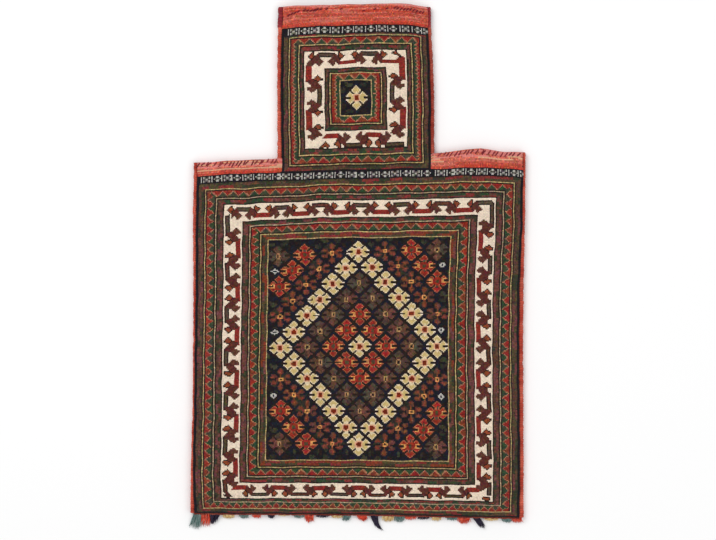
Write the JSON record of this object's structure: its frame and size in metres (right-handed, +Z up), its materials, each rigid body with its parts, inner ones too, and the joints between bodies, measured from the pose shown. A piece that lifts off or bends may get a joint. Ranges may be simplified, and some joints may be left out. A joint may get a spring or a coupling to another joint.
{
  "type": "hand-knotted salt bag",
  "caption": "Flat wool bag with a wide body and a narrow open neck, its front knotted in framed flower lattices, with overcast edges and a row of wool tufts below.",
  "frame": {"origin": "on the surface that the bag lies on, under the middle of its bounding box", "axes": "+Y along the bag from the tufted bottom to the open mouth of the neck, +X to the right seen from the front, +Z up out of the patterned front"},
  "size_m": [0.3644, 0.5762, 0.0191],
  "materials": {
    "patterned_wool": "knotted and wrapped wool in many colours",
    "plain_wool": "plain-woven madder red wool",
    "binding_wool": "overcast red wool yarn",
    "stitch_wool": "dark crimson sewing yarn",
    "tuft_teal": "loose teal wool",
    "tuft_red": "loose red wool",
    "tuft_navy": "loose navy wool",
    "tuft_yellow": "loose yellow wool"
  },
  "bodies": {
    "root": {"front_panel": "patterned_wool", "back_panel": "plain_wool", "body_binding_left": "binding_wool", "body_binding_right": "binding_wool", "neck_binding_left": "binding_wool", "neck_binding_right": "binding_wool", "bottom_binding": "binding_wool", "mouth_wrap_left": "stitch_wool", "mouth_wrap_right": "stitch_wool", "shoulder_stitching_left": "stitch_wool", "shoulder_stitching_right": "stitch_wool", "tuft_01": "tuft_teal", "tuft_02": "tuft_red", "tuft_03": "tuft_navy", "tuft_04": "tuft_yellow", "tuft_05": "tuft_teal", "tuft_06": "tuft_red", "tuft_07": "tuft_navy", "tuft_08": "tuft_yellow", "tuft_09": "tuft_teal", "tuft_10": "tuft_red", "tuft_11": "tuft_navy", "tuft_12": "tuft_yellow", "tuft_13": "tuft_teal", "tuft_14": "tuft_red", "tuft_15": "tuft_navy", "tuft_16": "tuft_yellow", "tuft_17": "tuft_teal", "tuft_18": "tuft_red", "tuft_19": "tuft_navy", "tuft_20": "tuft_yellow", "tuft_21": "tuft_teal", "tuft_22": "tuft_red", "tuft_23": "tuft_navy", "tuft_24": "tuft_yellow", "tuft_25": "tuft_teal", "tuft_26": "tuft_red"}
  },
  "joints": []
}
